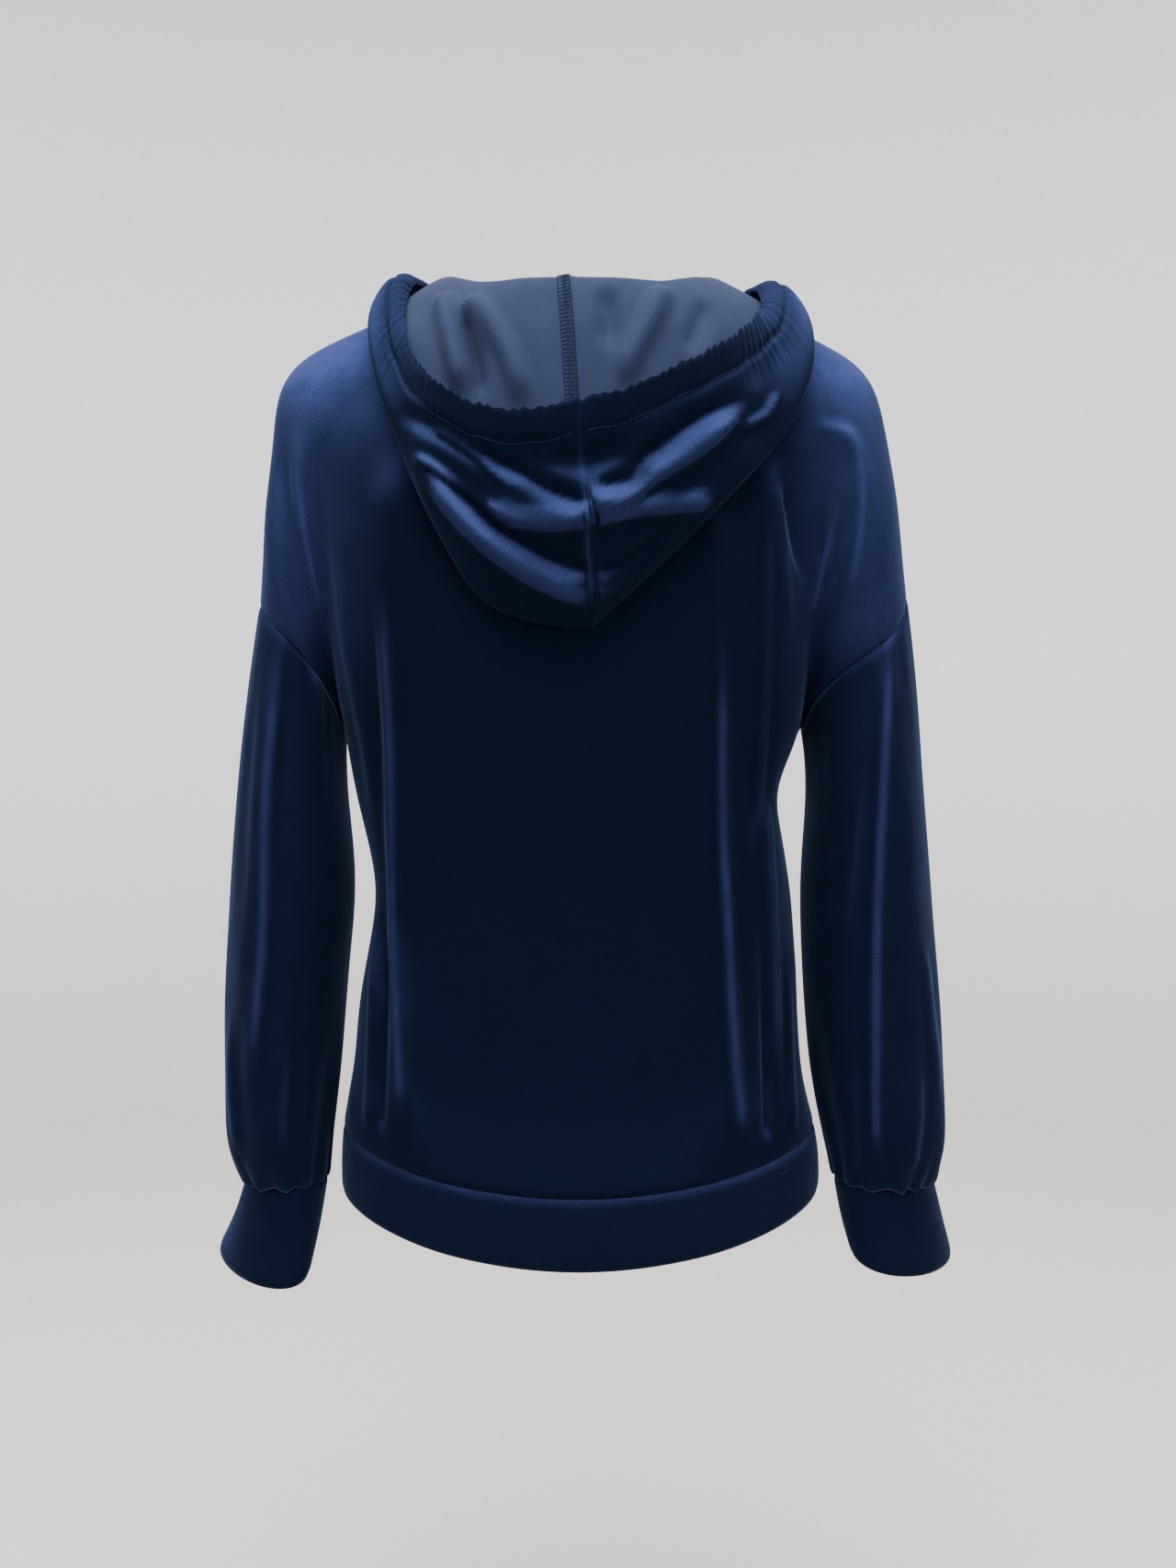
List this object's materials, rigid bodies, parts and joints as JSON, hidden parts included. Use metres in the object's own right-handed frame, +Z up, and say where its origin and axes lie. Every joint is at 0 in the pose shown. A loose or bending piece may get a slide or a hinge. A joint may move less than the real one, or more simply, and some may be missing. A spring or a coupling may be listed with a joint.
{
  "type": "pullover hoodie",
  "caption": "Pullover hoodie of plush stretch velvet, worn and hollow, with a gathered hood lying down the back, drop shoulders, full sleeves with cuffs and a hem band.",
  "frame": {"origin": "centre of the neck at the level of the shoulder support, where a wearer's shoulders hold the garment up", "axes": "+Z up, +Y towards the back of the garment, +X towards the wearer's left; the garment faces -Y"},
  "size_m": [0.4859, 0.275, 0.6548],
  "materials": {
    "velvet": "plush velvet pile with a soft sheen",
    "velvet_cuff": "doubled plush velvet",
    "velvet_band": "doubled plush velvet",
    "velvet_hood": "plush velvet outside, matt knit ground inside"
  },
  "bodies": {
    "root": {"front": "velvet", "back": "velvet", "sleeve_left": "velvet", "sleeve_right": "velvet", "cuff_left": "velvet_cuff", "cuff_right": "velvet_cuff", "hem_band": "velvet_band", "hood_left": "velvet_hood", "hood_right": "velvet_hood"}
  },
  "joints": []
}
